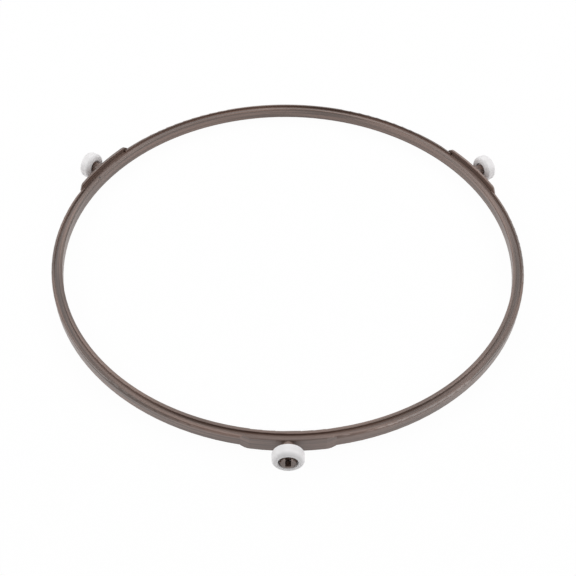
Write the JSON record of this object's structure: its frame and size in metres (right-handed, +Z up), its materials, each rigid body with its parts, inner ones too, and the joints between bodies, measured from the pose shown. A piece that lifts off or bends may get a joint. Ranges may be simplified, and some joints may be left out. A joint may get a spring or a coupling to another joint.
{
  "type": "microwave oven roller ring",
  "caption": "Moulded plastic ring of channelled section with rollers snapped on radial split spigots; it carries a microwave oven's glass tray as it turns.",
  "frame": {"origin": "on the ring's axis, level with the oven floor that the rollers stand on", "axes": "+Z up along the ring's axis, -Y towards the front roller"},
  "size_m": [0.22, 0.2295, 0.013],
  "materials": {
    "ring_plastic": "brown-grey, satin off the mould",
    "roller_plastic": "off-white, smooth"
  },
  "bodies": {
    "ring": {"ring": "ring_plastic"},
    "roller_front": {"roller_front": "roller_plastic"},
    "roller_right": {"roller_right": "roller_plastic"},
    "roller_left": {"roller_left": "roller_plastic"}
  },
  "joints": [
    {"name": "roller_front_spin", "type": "hinge", "parent": "ring", "child": "roller_front", "pos_m": [0, -0.1166, 0.0065], "axis": [0, -1, 0], "continuous": true},
    {"name": "roller_right_spin", "type": "hinge", "parent": "ring", "child": "roller_right", "pos_m": [0.10098, 0.0583, 0.0065], "axis": [0.866, 0.5, 0], "continuous": true},
    {"name": "roller_left_spin", "type": "hinge", "parent": "ring", "child": "roller_left", "pos_m": [-0.10098, 0.0583, 0.0065], "axis": [-0.866, 0.5, 0], "continuous": true}
  ]
}
